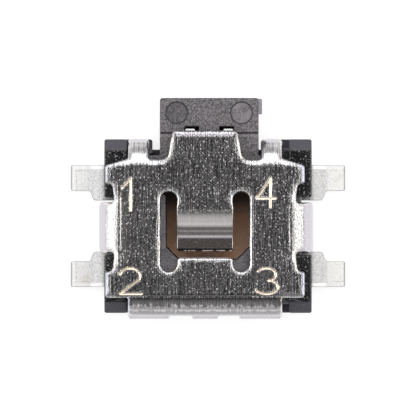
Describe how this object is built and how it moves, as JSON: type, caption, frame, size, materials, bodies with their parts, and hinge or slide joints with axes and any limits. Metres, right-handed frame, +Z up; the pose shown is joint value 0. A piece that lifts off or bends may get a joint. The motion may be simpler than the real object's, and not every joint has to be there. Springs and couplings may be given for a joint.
{
  "type": "tactile switch",
  "caption": "Low side-push surface-mount tactile switch with a stamped metal cover, a dark sliding button and flat solder terminals.",
  "frame": {"origin": "middle of the housing's footprint on the board plane", "axes": "+Z up from the board, +Y the way the button stands out, +X to the right seen from above with the button at the top"},
  "size_m": [0.0046, 0.0036, 0.0014],
  "materials": {
    "housing_resin": "matt black moulded resin",
    "cover_metal": "bright rolled sheet with drawn streaks",
    "button_resin": "warm dark grey moulded resin, fine grain",
    "polyimide_film": "smooth brown film",
    "disc_metal": "bright spring steel",
    "lead_tin": "satin tin plate on a copper alloy"
  },
  "bodies": {
    "body": {"housing": "housing_resin", "cover": "cover_metal", "protective_film": "polyimide_film", "snap_disc": "disc_metal", "centre_contact_frame": "lead_tin", "outer_contact_frame": "lead_tin"},
    "button": {"push_button": "button_resin"}
  },
  "joints": [
    {"name": "button_slide", "type": "slide", "parent": "body", "child": "button", "axis": [0, -1, 0], "range_m": [0, 0.0002], "stiffness_N_per_m": 8000, "deforming": ["protective_film", "snap_disc"]}
  ]
}
